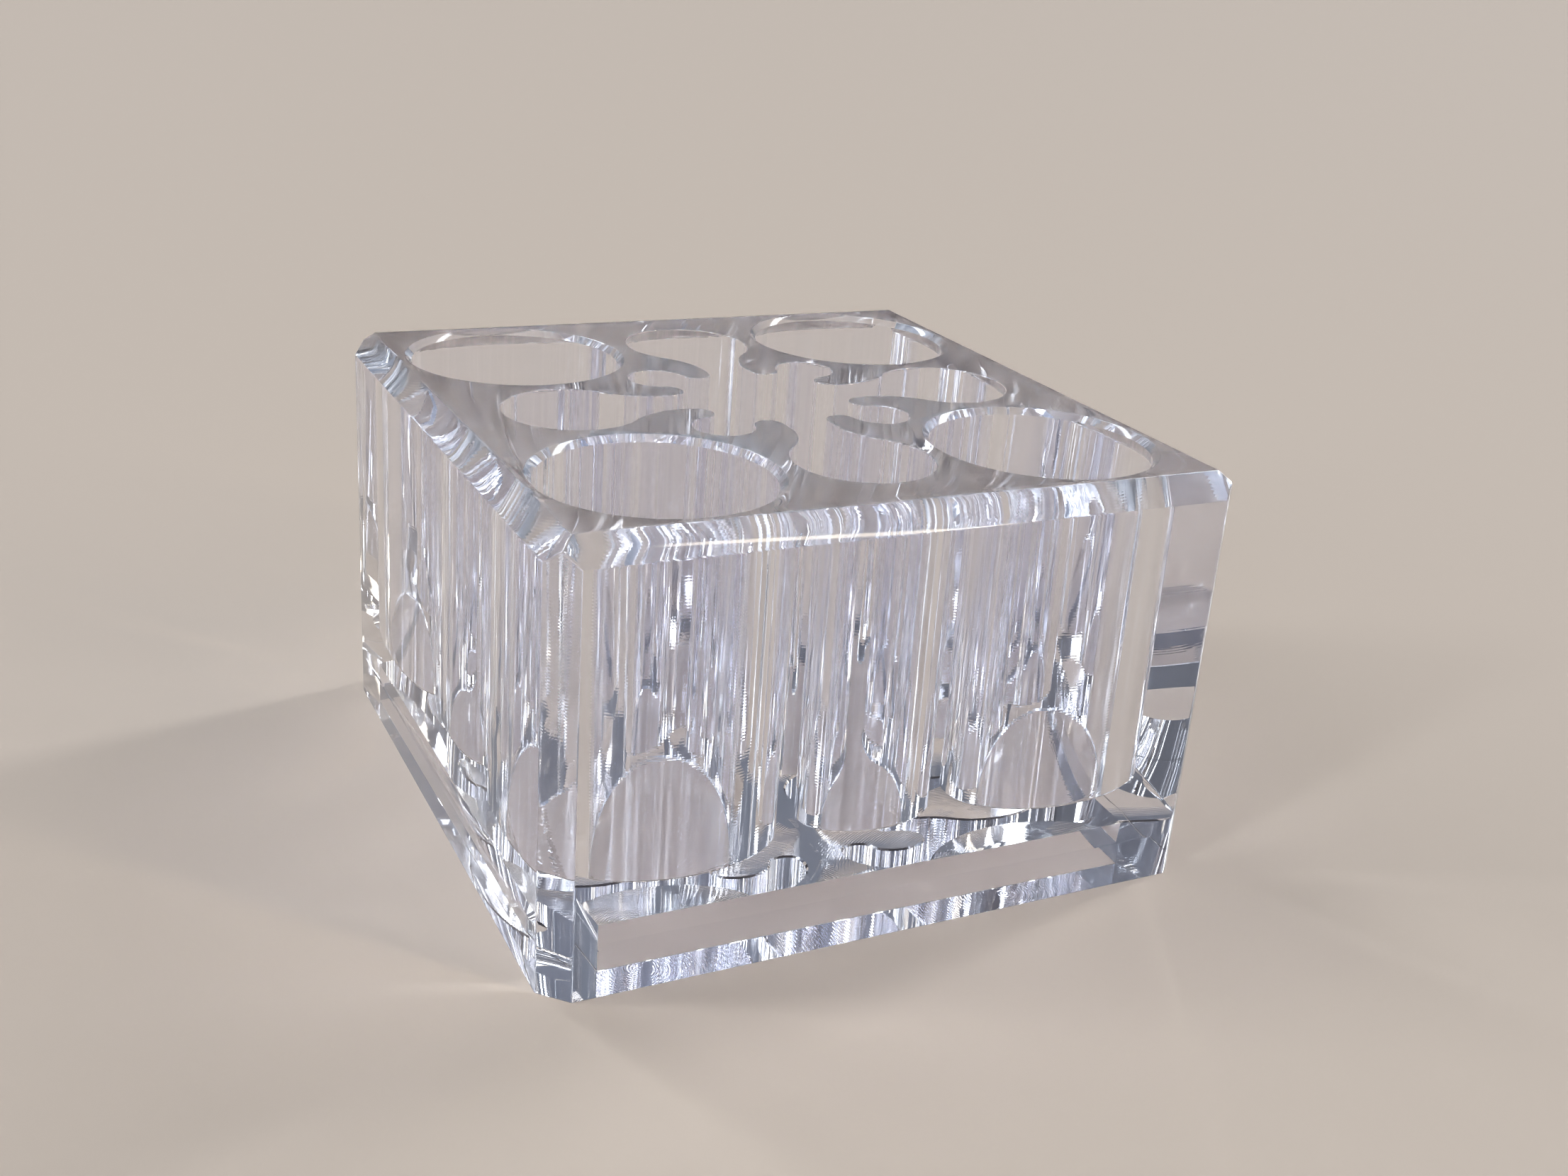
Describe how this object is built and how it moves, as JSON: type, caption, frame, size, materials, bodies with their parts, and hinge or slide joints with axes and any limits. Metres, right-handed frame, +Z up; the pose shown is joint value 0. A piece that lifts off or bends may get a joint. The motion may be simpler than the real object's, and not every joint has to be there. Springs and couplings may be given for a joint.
{
  "type": "chip rack",
  "caption": "Square clear acrylic block on a raised rim, with round open wells for stacks of gaming chips and a clover-shaped well in the middle.",
  "frame": {"origin": "centre of the underside of the foot rim, on the surface that the rack stands on", "axes": "+Z up, out of the wells; +X and +Y along the sides of the square"},
  "size_m": [0.127, 0.127, 0.0788],
  "materials": {
    "clear_acrylic": "cast acrylic, clear, polished outside, with upright cutter marks in the wells"
  },
  "bodies": {
    "root": {"well_block": "clear_acrylic", "floor_plate": "clear_acrylic", "foot_rail_front": "clear_acrylic", "foot_rail_right": "clear_acrylic", "foot_rail_back": "clear_acrylic", "foot_rail_left": "clear_acrylic"}
  },
  "joints": []
}
